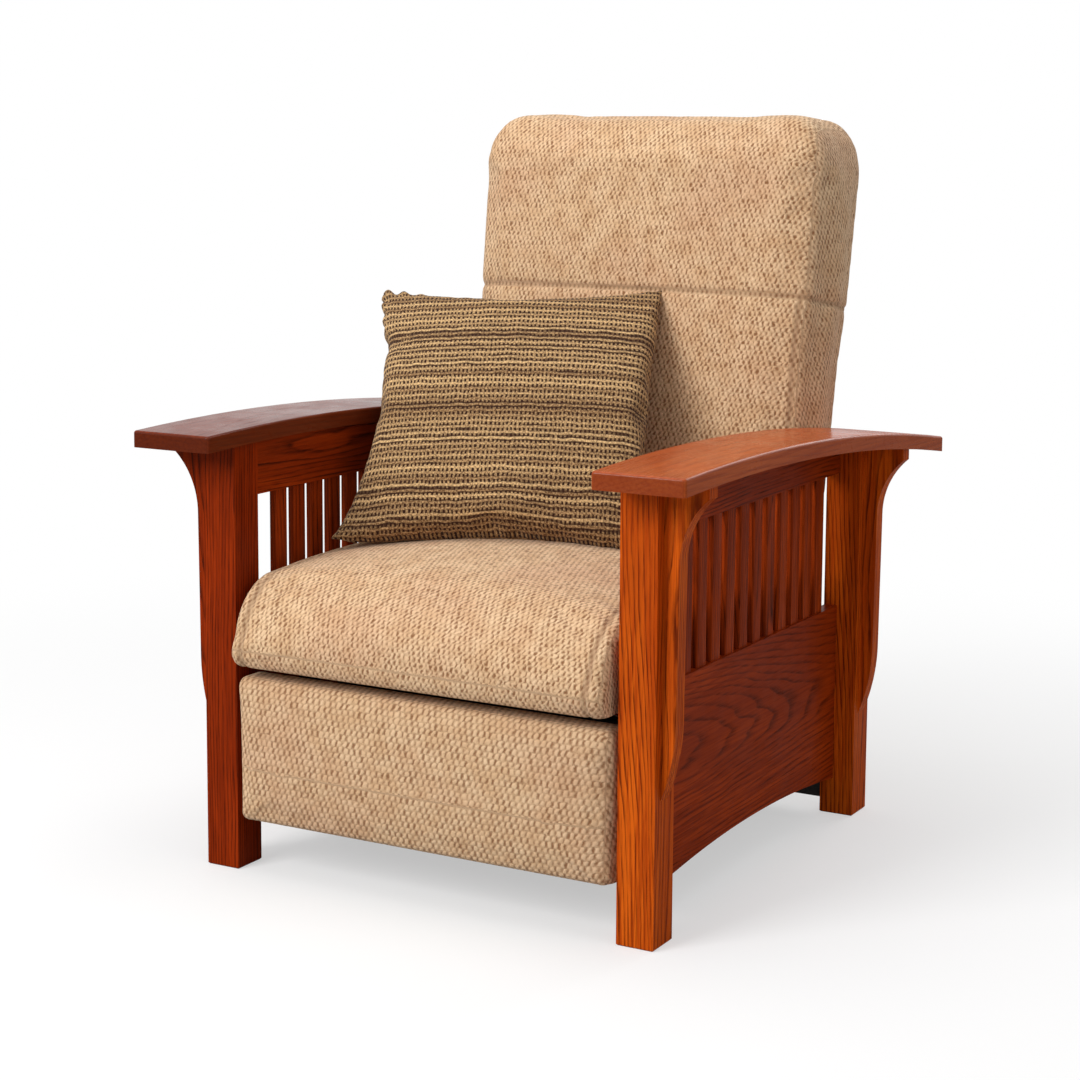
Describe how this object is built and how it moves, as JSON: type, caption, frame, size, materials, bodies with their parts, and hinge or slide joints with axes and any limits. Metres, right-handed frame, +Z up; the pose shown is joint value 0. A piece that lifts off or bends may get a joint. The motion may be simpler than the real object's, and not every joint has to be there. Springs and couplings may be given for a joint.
{
  "type": "reclining armchair",
  "caption": "Mission style oak reclining armchair with slatted sides, bowed arms, woven cushions, folding footrest and a loose throw pillow.",
  "frame": {"origin": "on the floor, centred under the bounding box", "axes": "+Z up, the front of the chair faces -Y, its left side as seen from the front is at -X"},
  "size_m": [0.908, 0.983, 1.1425],
  "materials": {
    "oak": "dark stained oak, semi-gloss lacquer",
    "rail_wood": "plain planed hardwood",
    "dust_board": "black painted board",
    "frame_steel": "black baked enamel",
    "fastener_steel": "zinc plated",
    "spring_steel": "oiled spring wire",
    "tan_fabric": "tan woven upholstery",
    "pillow_fabric": "dark brown basket weave"
  },
  "bodies": {
    "frame": {"left_front_post": "oak", "left_rear_post": "oak", "left_front_corbel": "oak", "left_rear_corbel": "oak", "left_arm": "oak", "left_upper_rail": "oak", "left_side_panel": "oak", "left_slats": "oak", "right_front_post": "oak", "right_rear_post": "oak", "right_front_corbel": "oak", "right_rear_corbel": "oak", "right_arm": "oak", "right_upper_rail": "oak", "right_side_panel": "oak", "right_slats": "oak", "front_cross_rail": "rail_wood", "rear_cross_rail": "rail_wood", "corner_blocks": "rail_wood", "rear_dust_board": "dust_board", "left_base_angle": "frame_steel", "right_base_angle": "frame_steel", "base_angle_screws": "fastener_steel", "base_pivot_pins": "fastener_steel"},
    "front_swing": {"front_swing_links": "frame_steel", "front_swing_tube": "frame_steel"},
    "rear_swing": {"rear_swing_links": "frame_steel", "rear_swing_tube": "frame_steel"},
    "seat": {"seat_cushion": "tan_fabric", "seat_front_rail": "rail_wood", "seat_rear_rail": "rail_wood", "seat_side_rails": "rail_wood", "seat_springs": "spring_steel", "left_seat_plate": "frame_steel", "right_seat_plate": "frame_steel", "seat_plate_bolts": "fastener_steel", "seat_pivot_pins": "fastener_steel"},
    "back": {"back_cushion": "tan_fabric", "back_stiles": "rail_wood", "back_rails": "rail_wood", "back_springs": "spring_steel", "back_outer_panel": "tan_fabric", "back_brackets": "frame_steel", "back_bracket_bolts": "fastener_steel"},
    "foot_drive": {"drive_links": "frame_steel", "drive_tube": "frame_steel", "drive_pins": "fastener_steel"},
    "foot_control": {"control_links": "frame_steel"},
    "foot_carrier": {"carrier_links": "frame_steel", "carrier_pins": "fastener_steel"},
    "foot_tilt": {"tilt_links": "frame_steel"},
    "footrest": {"footrest_pad": "tan_fabric", "footrest_board": "rail_wood", "footrest_brackets": "frame_steel", "footrest_pins": "fastener_steel", "footrest_screws": "fastener_steel"},
    "pillow": {"throw_pillow": "pillow_fabric"}
  },
  "joints": [
    {"name": "front_swing_turn", "type": "hinge", "parent": "frame", "child": "front_swing", "pos_m": [0, -0.15, 0.19], "axis": [1, 0, 0], "range_deg": [0, 39.5]},
    {"name": "rear_swing_turn", "type": "hinge", "parent": "frame", "child": "rear_swing", "pos_m": [0, 0.2, 0.19], "axis": [1, 0, 0], "range_deg": [0, 39.5]},
    {"name": "seat_level", "type": "hinge", "parent": "rear_swing", "child": "seat", "pos_m": [0, 0.23004, 0.27484], "axis": [-1, 0, 0], "range_deg": [0, 39.5]},
    {"name": "back_recline", "type": "hinge", "parent": "seat", "child": "back", "pos_m": [0, 0.206, 0.345], "axis": [-1, 0, 0], "range_deg": [0, 32]},
    {"name": "pillow_lift", "type": "slide", "parent": "seat", "child": "pillow", "axis": [0, 0, 1], "range_m": [0, 0.15]},
    {"name": "footrest_open", "type": "hinge", "parent": "seat", "child": "foot_drive", "pos_m": [0, -0.262, 0.288], "axis": [-1, 0, 0], "range_deg": [0, 93]},
    {"name": "foot_control_turn", "type": "hinge", "parent": "seat", "child": "foot_control", "pos_m": [0, -0.18864, 0.27241], "axis": [-1, 0, 0], "range_deg": [0, 93.5]},
    {"name": "foot_carrier_level", "type": "hinge", "parent": "foot_drive", "child": "foot_carrier", "pos_m": [0, -0.17862, 0.10072], "axis": [1, 0, 0], "range_deg": [0, 93.5]},
    {"name": "foot_tilt_level", "type": "hinge", "parent": "foot_drive", "child": "foot_tilt", "pos_m": [0, -0.16032, 0.05961], "axis": [1, 0, 0], "range_deg": [0, 93.5]},
    {"name": "footrest_tip", "type": "hinge", "parent": "foot_carrier", "child": "footrest", "pos_m": [0, -0.352, 0.235], "axis": [-1, 0, 0], "range_deg": [0, 93.5]}
  ],
  "couplings": [
    {"joint": "front_swing_turn", "follows": "back_recline", "ratio": 1.2188},
    {"joint": "rear_swing_turn", "follows": "back_recline", "ratio": 1.2188},
    {"joint": "seat_level", "follows": "back_recline", "ratio": 1.2188},
    {"joint": "foot_control_turn", "follows": "footrest_open", "ratio": 1},
    {"joint": "foot_carrier_level", "follows": "footrest_open", "ratio": 1},
    {"joint": "foot_tilt_level", "follows": "footrest_open", "ratio": 1},
    {"joint": "footrest_tip", "follows": "footrest_open", "ratio": 1}
  ]
}
